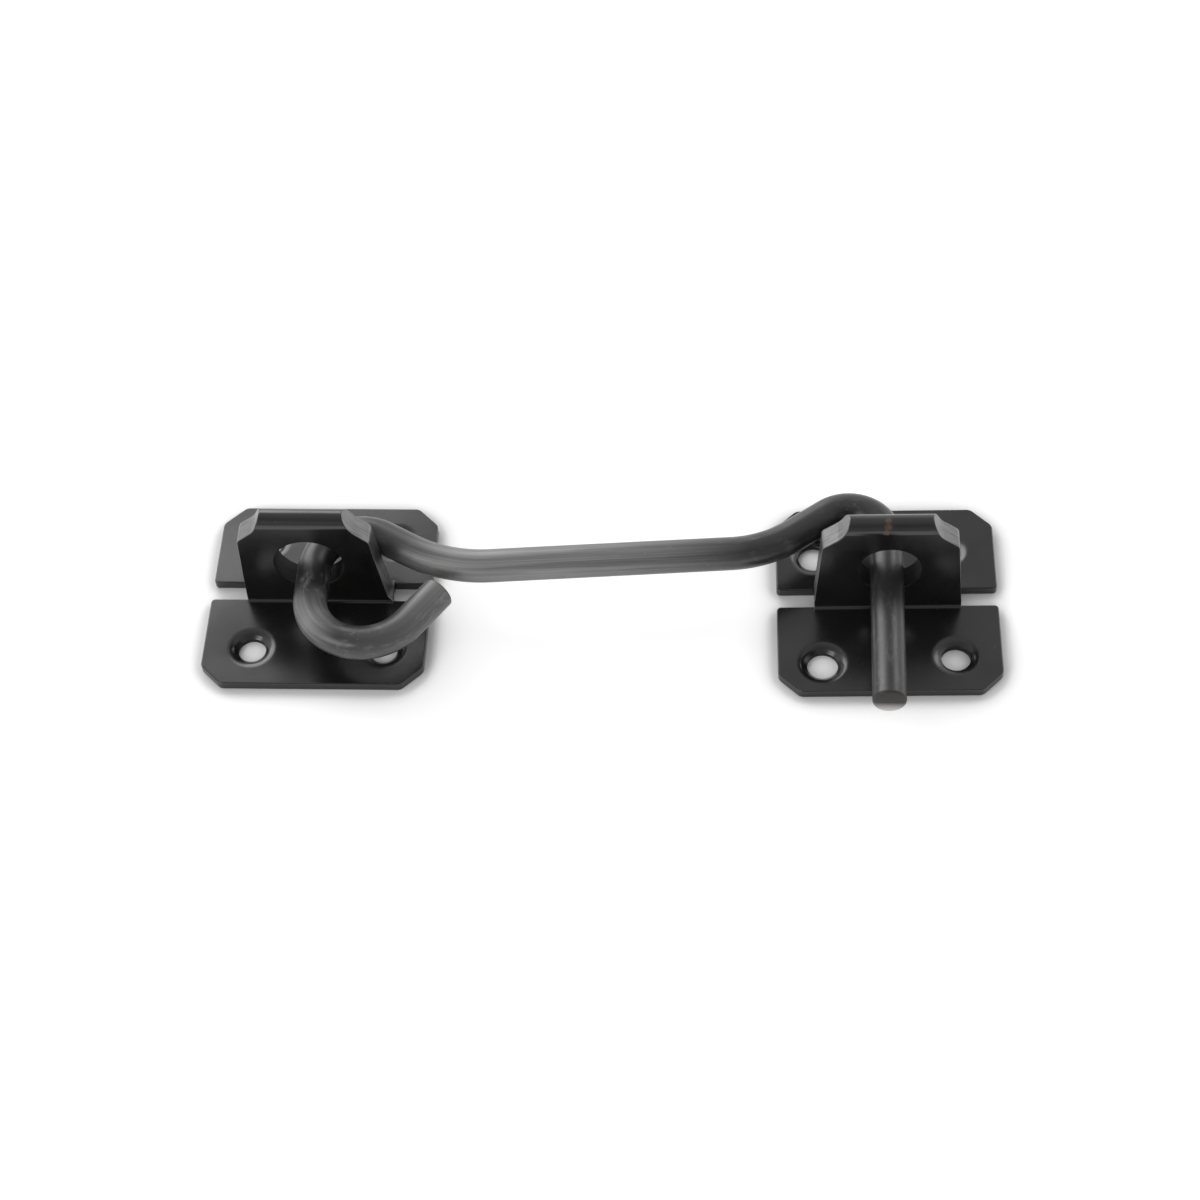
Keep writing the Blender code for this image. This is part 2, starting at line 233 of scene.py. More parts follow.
def black_coating(name, rust_spots=()):
    """The satin coating of a plate, over sheet that the press has left slightly buckled."""
    material, tree, shader, where = finish_start(name)
    grain = grained(tree, where)
    base = blend_colours(tree, ramp(tree, grain["Cloud"], 0.0, 1.0),
                         (0.0040, 0.0040, 0.0044), (0.0085, 0.0083, 0.0081))
    colour = blend_colours(tree, grain["Speck"], base, (0.16, 0.155, 0.15), (-150, 250))
    roughness = ramp(tree, grain["Cloud"], 0.20, 0.27, place=(-500, -100))
    if rust_spots:
        colour, roughness = rusted(tree, where, colour, roughness, rust_spots)
    feed(tree, shader.inputs["Base Color"], colour)
    feed(tree, shader.inputs["Roughness"], roughness)
    shader.inputs["IOR"].default_value = 1.66
    under = relief(tree, grain["Height"], 0.12, 0.00003, shader.inputs["Normal"])
    buckle = noise(tree, where, 55.0, 1.0, (-700, -700))
    relief(tree, buckle, 1.0, 0.0004, under, (-450, -600))
    return material


def sheared_edge():
    """Thinly coated sheared steel, torn in fine streaks through the sheet's thickness."""
    material, tree, shader, where = finish_start("sheared_edge")
    torn = noise(tree, stretched(tree, where, (0.10, 1.0, 0.10), (-1000, -400)), 3000.0, 2.0, (-800, -400))
    base = blend_colours(tree, ramp(tree, torn, 0.0, 1.0), (0.140, 0.140, 0.140), (0.240, 0.240, 0.238))
    feed(tree, shader.inputs["Base Color"], base)
    feed(tree, shader.inputs["Roughness"], ramp(tree, torn, 0.30, 0.44, place=(-500, -100)))
    shader.inputs["Metallic"].default_value = 0.9
    relief(tree, torn, 0.2, 0.00005, shader.inputs["Normal"])
    return material


def rough_bore():
    """The wall of a punched hole: dark, dry and rough under a starved coating."""
    material, tree, shader, where = finish_start("rough_bore")
    grain = grained(tree, where)
    base = blend_colours(tree, ramp(tree, grain["Height"], 0.0, 1.0),
                         (0.0040, 0.0040, 0.0042), (0.0110, 0.0108, 0.0105))
    feed(tree, shader.inputs["Base Color"], base)
    feed(tree, shader.inputs["Roughness"], ramp(tree, grain["Cloud"], 0.50, 0.70, place=(-500, -100)))
    shader.inputs["IOR"].default_value = 1.45
    relief(tree, grain["Height"], 0.5, 0.00006, shader.inputs["Normal"])
    return material


skin = black_coating("black_coating")
plate_finish = (skin, sheared_edge(), rough_bore())
COATED, SHEARED, PUNCHED = range(len(plate_finish))


def finished_mesh(bm, name):
    """The bmesh as a mesh that carries the three finishes of a plate."""
    mesh = bpy.data.meshes.new(name)
    bm.to_mesh(mesh)
    bm.free()
    for finish in plate_finish:
        mesh.materials.append(finish)
    return mesh


def developed(y):
    """Distance along the flat blank, from the crest, of a point on a foot at y from the fold."""
    return math.copysign(flat_start + abs(y) - foot_line, y)


def chosen(bm, test):
    """Edges whose two ends both pass a test of their place."""
    return [e for e in bm.edges if all(test(v.co) for v in e.verts)]


def rounded(bm, edges, offset, segments):
    """Edges rounded over, or clipped straight with one segment."""
    return bmesh.ops.bevel(bm, geom=edges, offset=offset, offset_type="OFFSET", affect="EDGES",
                           segments=segments, profile=0.5, material=-1, clamp_overlap=False)


def thickened(bm, direction):
    """Pushes every face out along a direction, which leaves a closed solid."""
    made = bmesh.ops.extrude_face_region(bm, geom=bm.faces[:])["geom"]
    bmesh.ops.translate(bm, vec=direction, verts=[v for v in made if isinstance(v, bmesh.types.BMVert)])


def blank(name, rear_reach):
    """The flat blank: half an outline, mirrored and given its thickness, then the corners clipped."""
    half = PLATE_WIDTH / 2
    neck = NECK_WIDTH / 2
    relief_side = neck + RELIEF_WIDTH
    slot = developed(SLOT_GAP / 2)
    notch = flat_start + RELIEF_DEPTH
    front = developed(-FRONT_REACH)
    rear = developed(rear_reach)
    middle_strip = 0.001  # the seam of the two halves, which gets no round corners
    feet_only = 0.030  # past this the blank is all foot
    bm = bmesh.new()
    right = [(0.0, front), (half, front), (half, -slot), (relief_side, -slot), (relief_side, -notch),
             (neck, -notch), (neck, notch), (relief_side, notch), (relief_side, slot), (half, slot),
             (half, rear), (0.0, rear)]
    bm.faces.new([bm.verts.new((x, u, 0.0)) for x, u in right])
    bmesh.ops.mirror(bm, geom=bm.verts[:] + bm.edges[:] + bm.faces[:], axis="X", merge_dist=2 * WELD)
    bmesh.ops.dissolve_edges(bm, edges=chosen(bm, lambda p: abs(p.x) < 2 * WELD), use_verts=False)
    bmesh.ops.recalc_face_normals(bm, faces=bm.faces)
    thickened(bm, (0.0, 0.0, SHEET))
    bmesh.ops.recalc_face_normals(bm, faces=bm.faces)

    def upright(test):
        return [e for e in bm.edges if abs(e.verts[0].co.z - e.verts[1].co.z) > SHEET / 2
                and test(e.verts[0].co)]

    def at_side(p):
        return abs(p.x) > half - NEAR

    def at_end(p, within=0.0):
        return p.y < front + within + NEAR or p.y > rear - within - NEAR

    def on_feet(p):
        return abs(p.y) > slot - NEAR / 10 and abs(p.x) > middle_strip or abs(p.y) > feet_only

    def in_relief(p):
        return abs(p.x) < relief_side + NEAR and abs(p.y) < notch + NEAR

    rounded(bm, upright(lambda p: at_side(p) and at_end(p)), CORNER_CLIP, 1)
    rounded(bm, upright(lambda p: at_side(p) and abs(p.y) < slot + NEAR), SLOT_CORNER_RADIUS, 4)
    rounded(bm, upright(lambda p: abs(p.x) > middle_strip and at_end(p)
                        or at_side(p) and at_end(p, CORNER_CLIP)), BLANK_CORNER_RADIUS, 3)
    rim = [e for e in chosen(bm, on_feet) if abs(e.verts[0].co.z - e.verts[1].co.z) < SHEET / 2
           and not all(in_relief(v.co) for v in e.verts)]
    rounded(bm, rim, RIM_RADIUS, 2)
    for face in bm.faces:
        middle = face.calc_center_median()
        if flat_start - 8 * NEAR < abs(middle.y) < slot and neck - NEAR < abs(middle.x) < relief_side + NEAR:
            face.material_index = SHEARED
    return finished_mesh(bm, name)


def turned(profile, sides, place, bore_radius):
    """A cutter turned from (radius, height) points. Faces inside bore_radius leave a rough bore."""
    bm = bmesh.new()
    chain = [bm.verts.new((radius, 0.0, height)) for radius, height in profile]
    edges = [bm.edges.new(pair) for pair in zip(chain, chain[1:])]
    bmesh.ops.spin(bm, geom=chain + edges, axis=(0, 0, 1), cent=(0, 0, 0), steps=sides,
                   angle=2 * math.pi, use_merge=True)
    bmesh.ops.remove_doubles(bm, verts=bm.verts, dist=WELD)
    bmesh.ops.recalc_face_normals(bm, faces=bm.faces)
    for face in bm.faces:
        middle = face.calc_center_median()
        face.material_index = PUNCHED if math.hypot(middle.x, middle.y) < bore_radius else COATED
    bmesh.ops.transform(bm, matrix=place, verts=bm.verts)
    return finished_mesh(bm, "cutter")


def punched(mesh, cutters):
    """The mesh with cutters taken out of it one by one."""
    work = bpy.data.objects.new("work", mesh)
    bpy.context.scene.collection.objects.link(work)
    for cutter_mesh in cutters:
        cutter = bpy.data.objects.new("cutter", cutter_mesh)
        bpy.context.scene.collection.objects.link(cutter)
        punch = work.modifiers.new("punch", "BOOLEAN")
        punch.operation = "DIFFERENCE"
        punch.solver = "EXACT"
        punch.object = cutter
        result = bpy.data.meshes.new_from_object(work.evaluated_get(bpy.context.evaluated_depsgraph_get()))
        work.modifiers.clear()
        work.data = result
        bpy.data.objects.remove(cutter, do_unlink=True)
    result = work.data
    bpy.data.objects.remove(work, do_unlink=True)
    return result


def screw_cutter(x, y, hole, depth):
    """Screw hole with a soft dish pressed round it, steep at the hole and fading outwards."""
    floor = SHEET - depth
    profile = [(0.0, -CUTTER_CLEAR), (hole + UNDER_BREAK, -CUTTER_CLEAR), (hole, UNDER_BREAK),
               (hole, floor - HOLE_BREAK), (hole + 0.08 * HOLE_BREAK, floor - 0.5 * HOLE_BREAK),
               (hole + 0.40 * HOLE_BREAK, floor - 0.08 * HOLE_BREAK)]
    for step in range(1, DISH_STEPS + 1):
        share = step / DISH_STEPS
        profile.append((hole + HOLE_BREAK + (DISH_RIM - HOLE_BREAK) * share,
                        SHEET - depth * (1 - share) ** DISH_FADE))
    profile += [(hole + DISH_RIM, SHEET + CUTTER_CLEAR), (0.0, SHEET + CUTTER_CLEAR)]
    return turned(profile, HOLE_SIDES, Matrix.Translation((x, developed(y), 0.0)), hole + NEAR / 5)


def folded(x, u, w):
    """Place of a blank point after folding. u is the developed distance, w the height in the sheet.

    The press squeezes the two layers together, so the sheet's inner face swells into the gap.
    """
    side = math.copysign(1.0, u)
    run = abs(u)
    swell = (LAYER_GAP - PINCHED_GAP) / 2 * (1 - w / SHEET)
    flat_tab = abs(x) > (NECK_WIDTH + RELIEF_WIDTH) / 2
    if run >= flat_start or flat_tab:
        return Vector((x, side * (foot_line + run - flat_start), w))
    if run <= crown_arc:
        angle = math.pi / 2 * run / crown_arc
        radius = LAYER_GAP / 2 + w - swell
        return Vector((x, side * radius * math.sin(angle), crown_height + radius * math.cos(angle)))
    if run <= crown_arc + wall_run:
        return Vector((x, side * (LAYER_GAP / 2 + w - swell), crown_height - (run - crown_arc)))
    angle = math.pi / 2 * (run - crown_arc - wall_run) / foot_arc
    radius = foot_bend_outer - w + swell * math.cos(angle)
    return Vector((x, side * (foot_line - radius * math.cos(angle)),
                   foot_bend_outer - radius * math.sin(angle)))


def fold(mesh):
    """Score the flat blank along every bend line, then fold it up."""
    bm = bmesh.new()
    bm.from_mesh(mesh)
    lines = [crown_arc * step / CREST_STEPS for step in range(CREST_STEPS + 1)]
    lines += [flat_start - foot_arc * step / FOOT_STEPS for step in range(FOOT_STEPS + 1)]
    for place in lines + [-line for line in lines if line > 0]:
        bmesh.ops.bisect_plane(bm, geom=bm.verts[:] + bm.edges[:] + bm.faces[:], dist=0.0000002,
                               plane_co=(0.0, place, 0.0), plane_no=(0, 1, 0))
    for vert in bm.verts:
        vert.co = folded(*vert.co)
    bm.to_mesh(mesh)
    bm.free()


def shoulder_cutter(side, trim):
    """Trims one side of the bridge: a tapered flank, then a shoulder hollowed across both layers."""
    slope = (WAIST_WIDTH - CREST_WIDTH) / 2 / WAIST_DROP
    outside = NECK_WIDTH / 2 + CUTTER_CLEAR
    above = BRIDGE_HEIGHT + CUTTER_CLEAR
    bottom = SHEET + 2 * NEAR
    outline = [(side * NECK_WIDTH / 2, bottom), (side * (NECK_WIDTH / 2 - trim), foot_bend_outer + TRIM_RISE),
               (side * (SHOULDER_WIDTH / 2 - trim), BRIDGE_HEIGHT - SHOULDER_DROP),
               (side * WAIST_WIDTH / 2, BRIDGE_HEIGHT - WAIST_DROP),
               (side * (CREST_WIDTH / 2 - slope * CUTTER_CLEAR), above), (side * outside, above),
               (side * outside, bottom)]
    bm = bmesh.new()
    bm.faces.new([bm.verts.new((x, -CUTTER_REACH, z)) for x, z in outline])
    thickened(bm, (0.0, 2 * CUTTER_REACH, 0.0))

    def across(test):
        return [e for e in bm.edges if abs(e.verts[0].co.y - e.verts[1].co.y) > CUTTER_REACH
                and test(e.verts[0].co)]

    rounded(bm, across(lambda p: abs(abs(p.x) - WAIST_WIDTH / 2) < NEAR), WAIST_RADIUS, 5)
    rounded(bm, across(lambda p: abs(p.z - BRIDGE_HEIGHT + SHOULDER_DROP) < NEAR), SHOULDER_RADIUS, 4)
    bmesh.ops.recalc_face_normals(bm, faces=bm.faces)
    for face in bm.faces:
        face.material_index = SHEARED
    return finished_mesh(bm, "cutter")


def smoothed_object(name, mesh):
    """The mesh shaded smooth up to its crisp edges, as an object at the origin."""
    mesh.shade_smooth()
    mesh.set_sharp_from_angle(angle=math.radians(50.0))
    made = bpy.data.objects.new(name, mesh)
    bpy.context.scene.collection.objects.link(made)
    return made


def pressing(name, rear_reach, holes, trim, lean, eye, eye_x, place, coating):
    """A finished plate: blank, screw holes, fold, shoulders, lean, eye, broken edges and its place."""
    mesh = punched(blank(name, rear_reach), [screw_cutter(*hole) for hole in holes])
    fold(mesh)
    mesh = punched(mesh, [shoulder_cutter(-1, 0.0), shoulder_cutter(1, trim)])
    for vert in mesh.vertices:
        vert.co.x -= math.tan(lean) * max(vert.co.z - SHEET, 0.0)
    bore = [(0.0, -CUTTER_REACH), (eye / 2, -CUTTER_REACH), (eye / 2, CUTTER_REACH), (0.0, CUTTER_REACH)]
    turn = Matrix.Translation((eye_x, 0.0, EYE_HEIGHT)) @ Matrix.Rotation(math.pi / 2, 4, "X")
    mesh = punched(mesh, [turned(bore, EYE_SIDES, turn, 1.0)])

    bm = bmesh.new()
    bm.from_mesh(mesh)
    bmesh.ops.remove_doubles(bm, verts=bm.verts, dist=WELD)
    bmesh.ops.dissolve_degenerate(bm, edges=bm.edges, dist=WELD)

    def outer_skin(p):
        return (math.hypot(p.y, max(p.z - crown_height, 0.0)) > half_bridge - 2 * NEAR
                and abs(p.y) < half_bridge + 2 * NEAR and p.z > foot_bend_outer + NEAR)

    proud = [e for e in chosen(bm, outer_skin) if len(e.link_faces) == 2
             and e.calc_face_angle() > math.radians(35)]
    rounded(bm, proud, BRIDGE_RIM_RADIUS, 2)
    bmesh.ops.transform(bm, matrix=place, verts=bm.verts)
    bm.to_mesh(mesh)
    bm.free()
    mesh.name = name
    mesh.materials[COATED] = coating
    plate = smoothed_object(name, mesh)
    even = plate.modifiers.new("even_shading", "WEIGHTED_NORMAL")
    even.keep_sharp = True
    even.weight = 100
    return plate


def hole_grid(shift, turn, sizes):
    """Where the four punches strike, from the fold's middle, with each hole's radius and dish depth."""
    strike = Matrix.Translation((*shift, 0.0)) @ Matrix.Rotation(turn, 4, "Z")
    points = [strike @ Vector((sx * HOLE_SPREAD / 2, sy * HOLE_PITCH / 2, 0.0))
              for sx in (-1, 1) for sy in (-1, 1)]
    return [(p.x, p.y, *size) for p, size in zip(points, sizes)]


PIVOT_HOLES = [(0.00245, 0.0009), (0.00250, 0.0009), (0.00240, 0.0009), (0.00245, 0.0009)]
PIVOT_PUNCH_SHIFT = (0.0006, -0.0006)
PIVOT_EYE_SHIFT = -0.0002
PIVOT_TRIM = 0.0007

pivot_eye_x = PIVOT_EYE_SHIFT - math.tan(PIVOT_LEAN) * (EYE_HEIGHT - SHEET)
pivot = pressing("pivot_plate_pressing", REAR_REACH, hole_grid(PIVOT_PUNCH_SHIFT, 0.0, PIVOT_HOLES),
                 PIVOT_TRIM, PIVOT_LEAN, PIVOT_EYE, pivot_eye_x, Matrix.Translation((0.0, FOLD_Y, 0.0)), skin)
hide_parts("pivot_plate")
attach(pivot, "pivot_plate")

# KEEPER PLATE
# The same pressing from the same tools, with a smaller eye, a rear foot a little longer and its screw
# holes punched off centre and askew. It is screwed down slightly turned from the pivot plate.

KEEPER_EYE = 0.0113
KEEPER_REAR_REACH = 0.0203
KEEPER_YAW = math.radians(1.35)
KEEPER_PUNCH_SHIFT = (-0.0007, -0.0017)
KEEPER_PUNCH_TURN = math.radians(2.6)
KEEPER_PLACE = (0.1029, 0.0124, 0.0)
KEEPER_HOLES = [(0.00275, 0.0010), (0.00270, 0.0009), (0.00262, 0.0006), (0.00270, 0.0009)]

RUST_SPOTS = [((0.10228, 0.01200, 0.02458), 0.00080), ((0.10228, 0.01095, 0.02404), 0.00085),
              ((0.10195, 0.01036, 0.02310), 0.00070)]

rusted_skin = black_coating("black_coating_with_rust", RUST_SPOTS)
keeper = pressing("keeper_plate_pressing", KEEPER_REAR_REACH,
                  hole_grid(KEEPER_PUNCH_SHIFT, KEEPER_PUNCH_TURN, KEEPER_HOLES), 0.0, 0.0, KEEPER_EYE, 0.0,
                  Matrix.Translation(KEEPER_PLACE) @ Matrix.Rotation(KEEPER_YAW, 4, "Z"), rusted_skin)
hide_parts("keeper_plate")
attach(keeper, "keeper_plate")

# HOOK
# One 6 mm round steel rod, drawn, cut off square and bent cold: a curl through the pivot plate's eye,
# a straight shaft behind both bridges, an arch over the keeper's foot and a leg through its eye.

ROD_RADIUS = 0.0030
ROD_LEVEL = 0.01055
ROD_SIDES = 64
TIP_BREAK = 0.00028
TIP_STEPS = ((0.35, 0.72), (0.30, 0.92), (0.35, 1.0))
LEG_END_BREAK = 0.00060
LEG_END_STEPS = ((0.35, 0.95), (0.30, 0.76), (0.22, 0.42), (0.13, 0.0))
TIP = Vector((0.0228564, 0.0062875, ROD_LEVEL))
TIP_HEADING = math.radians(235.0)
# A straight has its length, a bend its centre and turn, and a straight_to runs up to where the bend of
# that centre and radius begins.
BENDS = [("straight", 0.0088), ("bend", (0.0097813, 0.0047000), -145.0), ("straight", 0.0067889),
         ("bend", (0.0079813, 0.0114889), -120.5), ("straight", 0.0054),
         ("bend", (0.0295858, 0.0375266), 34.69427), ("straight_to", (0.0731959, 0.0357113), 0.0204),
         ("bend", (0.0731959, 0.0357113), 33.30573), ("straight", 0.0079),
         ("bend", (0.0959000, 0.0191000), -127.5), ("straight", 0.0353)]

PUSH_STEP = 0.002
BEND_STEP = 2.5

# How far the coating wears through with handling, pushed up into a painted highlight on the curl and a
# painted sheen along the shaft, and how much it is scuffed, as (share, level). Share 1 is the tone span, past
# which the leg stays the same.
TONE_SPAN = 0.1660
HANDLED_AND_PAINTED_SHEEN = ((0.0, 0.50), (0.08, 0.22), (0.13, 0.06), (0.165, 0.75), (0.21, 0.02), (0.30, 0.02), (0.37, 0.15),
           (0.43, 0.85), (0.55, 0.95), (0.66, 0.50), (0.75, 0.03), (0.85, 0.02), (1.0, 0.02))
RUBBED = ((0.0, 0.50), (0.06, 0.25), (0.14, 0.30), (0.18, 0.60), (0.22, 0.35), (0.25, 0.08), (0.60, 0.12),
          (1.0, 0.14))
DIE_LINE_SIDE = 0.0015
DIE_LINE_SPREAD = 0.00022


def toned(tree, share, tones, place):
    """A level that changes along the rod. Tones are (share, level), from share 0 to share 1."""
    node = shade(tree, "ShaderNodeValToRGB", place)
    feed(tree, node.inputs[0], share)
    stops = node.color_ramp.elements
    for stop, (_, level) in zip(stops, (tones[0], tones[-1])):
        stop.color = (level, level, level, 1.0)
    for where, level in tones[1:-1]:
        stops.new(where).color = (level, level, level, 1.0)
    return node.outputs["Color"]


def along_rod(tree):
    """The along_rod attribute as a place and as its parts: X run, Y across and Z height in the rod."""
    along = shade(tree, "ShaderNodeAttribute", (-1500, -300), attribute_name="along_rod").outputs["Vector"]
    parts = shade(tree, "ShaderNodeSeparateXYZ", (-1250, 300))
    feed(tree, parts.inputs[0], along)
    return along, parts.outputs


def drawn_rod():
    """Drawn rod, coated like the plates but with the coating gone where it rubs and is handled, with a
    painted sheen on the curl and shaft, painted shade underneath, and die lines.
    """
    material, tree, shader, where = finish_start("drawn_rod")
    grain = grained(tree, where)
    along, rod = along_rod(tree)
    share = ramp(tree, rod["X"], 0.0, 1.0, 0.0, TONE_SPAN, (-1050, 300))

    drawn_out = stretched(tree, along, (0.02, 1.0, 1.0), (-1250, -300))
    streaks = noise(tree, drawn_out, 1500.0, 3.0, (-1000, -300))
    streaky = ramp(tree, streaks, 0.55, 1.0, 0.35, 0.55, (-700, 100))
    # Coating wear along the run, raised into a painted highlight on the curl and a painted sheen along the
    # shaft.
    worn_and_painted_sheen = worked(tree, "MULTIPLY", (toned(tree, share, HANDLED_AND_PAINTED_SHEEN, (-850, 300)), streaky), (-500, 100))
    # Kept lower on the underside than on top: painted shade, so the rod's lower side shows less bright metal.
    painted_shade_underneath = ramp(tree, rod["Z"], 0.40, 1.0, -0.0020, 0.0010, (-700, -50))
    worn_and_painted_sheen = worked(tree, "MULTIPLY", (worn_and_painted_sheen, painted_shade_underneath), (-350, 100))
    colour = blend_colours(tree, worn_and_painted_sheen, (0.0095, 0.0095, 0.0097), (0.320, 0.320, 0.318), (-500, 300))

    shortened = stretched(tree, along, (0.45, 1.0, 1.0), (-1250, -600))
    patches = noise(tree, shortened, 520.0, 5.0, (-1000, -600), 0.7)
    patchy = ramp(tree, patches, 0.0, 1.0, 0.54, 0.68, (-700, 450))
    scuffed = worked(tree, "MULTIPLY", (patchy, toned(tree, share, RUBBED, (-850, 600))), (-500, 600))
    colour = blend_colours(tree, scuffed, colour, (0.30, 0.30, 0.296), (-350, 450))

    off_middle = worked(tree, "SUBTRACT", (rod["Y"], DIE_LINE_SIDE), (-1000, 800))
    apart = worked(tree, "SUBTRACT", (worked(tree, "ABSOLUTE", (off_middle,), (-850, 800)), DIE_LINE_SPREAD),
                   (-700, 800))
    off_line = worked(tree, "ABSOLUTE", (apart,), (-550, 800))
    thin = ramp(tree, off_line, 1.0, 0.0, 0.00002, 0.00009, (-550, 650))
    on_top = ramp(tree, rod["Z"], 0.0, 1.0, 0.0018, 0.0020, (-700, 1000))
    fading = ramp(tree, rod["X"], 0.32, 0.0, 0.100, 0.122, (-700, 1150))
    starting = ramp(tree, rod["X"], 0.0, 1.0, 0.060, 0.075, (-700, 1300))
    on_line = worked(tree, "MULTIPLY", (thin, on_top), (-400, 900))
    on_shaft = worked(tree, "MULTIPLY", (fading, starting), (-500, 1150))
    die_line = worked(tree, "MULTIPLY", (on_line, on_shaft), (-300, 1000))
    colour = blend_colours(tree, die_line, colour, (0.42, 0.42, 0.415), (-250, 600))
    colour = blend_colours(tree, grain["Speck"], colour, (0.42, 0.41, 0.40), (-150, 250))

    satin = ramp(tree, grain["Cloud"], 0.28, 0.36, place=(-650, -200))
    matt = worked(tree, "MULTIPLY_ADD", (worn_and_painted_sheen, 0.30, satin), (-450, -150))
    feed(tree, shader.inputs["Base Color"], colour)
    feed(tree, shader.inputs["Roughness"], worked(tree, "MULTIPLY_ADD", (scuffed, 0.10, matt), (-300, -50)))
    feed(tree, shader.inputs["Metallic"], worn_and_painted_sheen)
    shader.inputs["IOR"].default_value = 1.60
    relief(tree, streaks, 0.20, 0.00003, shader.inputs["Normal"])
    return material


def rod_end():
    """A cut end: coated dark, browner on the tip's broken rim, and pale towards the bottom of the leg's face.
    """
    material, tree, shader, where = finish_start("rod_end")
    grain = grained(tree, where)
    colour = blend_colours(tree, ramp(tree, grain["Cloud"], 0.0, 1.0),
                           (0.014, 0.014, 0.014), (0.048, 0.045, 0.042))
    along, rod = along_rod(tree)
    radius = shade(tree, "ShaderNodeVectorMath", (-700, 500), operation="LENGTH")
    feed(tree, radius.inputs[0], stretched(tree, along, (0.0, 1.0, 1.0), (-900, 500)))
    rim = ramp(tree, radius.outputs["Value"], 0.0, 1.0, 0.0023, 0.0028, (-550, 600))
    at_tip = ramp(tree, rod["X"], 1.0, 0.12, 0.01, 0.02, (-550, 400))
    broken = worked(tree, "MULTIPLY", (rim, at_tip), (-400, 500))
    colour = blend_colours(tree, broken, colour, (0.105, 0.074, 0.058), (-250, 400))
    # Paler towards the bottom of the leg's face.
    low = ramp(tree, rod["Z"], 1.0, 0.0, -0.0022, -0.0001, (-500, 250))
    at_leg = ramp(tree, rod["X"], 0.15, 1.0, 0.01, 0.02, (-500, 100))
    paler_low = worked(tree, "MULTIPLY", (low, at_leg), (-250, 250))
    colour = blend_colours(tree, paler_low, colour, (0.50, 0.49, 0.48), (-100, 300))
    feed(tree, shader.inputs["Base Color"], colour)
    feed(tree, shader.inputs["Roughness"], ramp(tree, grain["Cloud"], 0.36, 0.52, place=(-500, -100)))
    shader.inputs["Metallic"].default_value = 0.5
    relief(tree, grain["Height"], 0.2, 0.00003, shader.inputs["Normal"])
    return material


def bent_rod():
    """The rod, pushed out of its cut tip and bent one bend after another."""
    bm = bmesh.new()
    straightened = bm.verts.layers.float_vector.new("along_rod")
    forward = Vector((math.cos(TIP_HEADING), math.sin(TIP_HEADING), 0.0))
    stand = Matrix.Translation(TIP) @ forward.to_track_quat("Z", "Y").to_matrix().to_4x4()
    bmesh.ops.create_circle(bm, cap_ends=True, radius=ROD_RADIUS - TIP_BREAK, segments=ROD_SIDES,
                            matrix=stand)
    end = bm.faces[:]
    run = 0.0
    place = TIP.copy()

    def note():
        """Writes on the rod's open end where each point lies along, across and up in the straight rod."""
        for vert in {v for f in end for v in f.verts}:
            away = vert.co - place
            side = forward.cross(Vector((0, 0, 1))).normalized()
            vert[straightened] = (run, away.dot(side), away.z)

    def push(length):
        nonlocal end, run, place
        made = bmesh.ops.extrude_face_region(bm, geom=end)["geom"]
        moved = [v for v in made if isinstance(v, bmesh.types.BMVert)]
        bmesh.ops.translate(bm, vec=forward * length, verts=moved)
        end = [f for f in made if isinstance(f, bmesh.types.BMFace)]
        run += length
        place = place + forward * length

    def broken_end(depth, steps):
        """A rounded end. Steps are (share of its length, share of its depth that the rim has grown)."""
        for length, grown in steps:
            push(depth * length)
            wanted = ROD_RADIUS - depth * (1 - grown)
            for vert in {v for f in end for v in f.verts}:
                vert.co = place + (vert.co - place).normalized() * wanted
            note()

    def straight(length):
        pieces = max(1, round(length / PUSH_STEP))
        for _ in range(pieces):
            push(length / pieces)
            note()

    def bend(centre, degrees):
        nonlocal end, run, place, forward
        middle = Vector((*centre, ROD_LEVEL))
        steps = max(4, math.ceil(abs(degrees) / BEND_STEP))
        turn = math.radians(degrees) / steps
        spun = Matrix.Rotation(turn, 3, "Z")
        for _ in range(steps):
            made = bmesh.ops.spin(bm, geom=end, axis=(0, 0, 1), cent=middle, angle=turn, steps=1)
            end = [f for f in made["geom_last"] if isinstance(f, bmesh.types.BMFace)]
            run += abs(turn) * (place - middle).length
            place = middle + spun @ (place - middle)
            forward = spun @ forward
            note()

    note()
    broken_end(TIP_BREAK, TIP_STEPS)
    for kind, size, *more in BENDS:
        if kind == "bend":
            bend(size, more[0])
        elif kind == "straight_to":
            touch = Vector((*size, ROD_LEVEL)) + Vector((forward.y, -forward.x, 0.0)) * more[0]
            straight((touch - place).dot(forward))
        else:
            straight(size - (TIP_BREAK if run < 0.001 else 0.0))
    broken_end(LEG_END_BREAK, LEG_END_STEPS)
    for face in bm.faces:
        middle = sum(vert[straightened].x for vert in face.verts) / len(face.verts)
        face.material_index = 0 if TIP_BREAK < middle < run - LEG_END_BREAK else 1
    return bm


bm = bent_rod()
bmesh.ops.recalc_face_normals(bm, faces=bm.faces)
hook_mesh = bpy.data.meshes.new("hook_rod")
bm.to_mesh(hook_mesh)
bm.free()
hook_mesh.materials.append(drawn_rod())
hook_mesh.materials.append(rod_end())
hook = smoothed_object("hook_rod", hook_mesh)
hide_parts("hook")
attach(hook, "hook")

# FLOOR, LIGHT AND CAMERA
# A white table that the plates lie on, glowing where it is seen but faded near the parts into a painted
# contact shadow, a white surround that mirrors dimmer overhead and in front, three soft lamps round the
# table, and the camera where it stood over the front of the hook.


def seen_or_mirrored(tree):
    """Two masks: rays from the camera alone, and all rays that see the white and aren't only lit by it."""
    path = shade(tree, "ShaderNodeLightPath", (-700, -300)).outputs
    either = worked(tree, "MAXIMUM", (path["Is Camera Ray"], path["Is Glossy Ray"]), (-500, -300))
    return path["Is Camera Ray"], worked(tree, "MAXIMUM", (either, path["Is Transmission Ray"]), (-350, -300))


